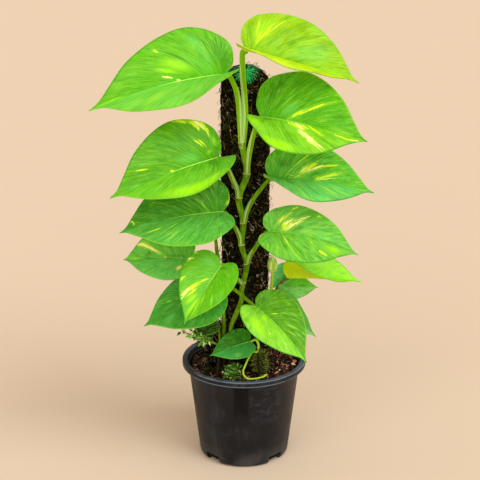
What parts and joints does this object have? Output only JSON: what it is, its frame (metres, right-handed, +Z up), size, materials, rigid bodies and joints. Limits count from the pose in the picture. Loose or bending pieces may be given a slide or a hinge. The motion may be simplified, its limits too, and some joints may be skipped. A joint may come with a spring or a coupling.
{
  "type": "potted climbing plant",
  "caption": "Climbing golden pothos with large variegated heart-shaped leaves on a coir pole, in a round black nursery pot filled with soil.",
  "frame": {"origin": "centre of the flat underside of the pot", "axes": "+Z up along the pole, -Y towards the viewer of the picture, +X to the viewer's right"},
  "size_m": [0.3202, 0.2033, 0.5554],
  "materials": {
    "leaf": "satin, green with yellow flecks",
    "stem": "satin, olive green",
    "pot": "black, dusty",
    "soil": "dark brown crumbs",
    "coir": "rough brown fibre",
    "stake": "plain",
    "net": "green twine",
    "moss": "fuzzy"
  },
  "bodies": {
    "root": {"pot": "pot", "soil": "soil", "pole_coir": "coir", "pole_stake": "stake", "pole_net": "net", "moss_front": "moss", "moss_left": "moss", "vine_front": "stem", "vine_left": "stem", "vine_right": "stem", "shoot_front": "stem", "shoot_left": "stem", "leaf_top_left": "leaf", "leaf_top_right": "leaf", "leaf_upper_right": "leaf", "leaf_upper_left": "leaf", "leaf_mid_right": "leaf", "leaf_mid_left": "leaf", "leaf_lower_right": "leaf", "leaf_left_behind": "leaf", "leaf_right_behind": "leaf", "leaf_front_left": "leaf", "leaf_low_left": "leaf", "leaf_front_right": "leaf", "leaf_front_small": "leaf", "leaf_right_small": "leaf", "leaf_right_low": "leaf", "leaf_shaded_small": "leaf", "leaf_back_left": "leaf", "leaf_low_left_small": "leaf", "leaf_young": "leaf"}
  },
  "joints": []
}
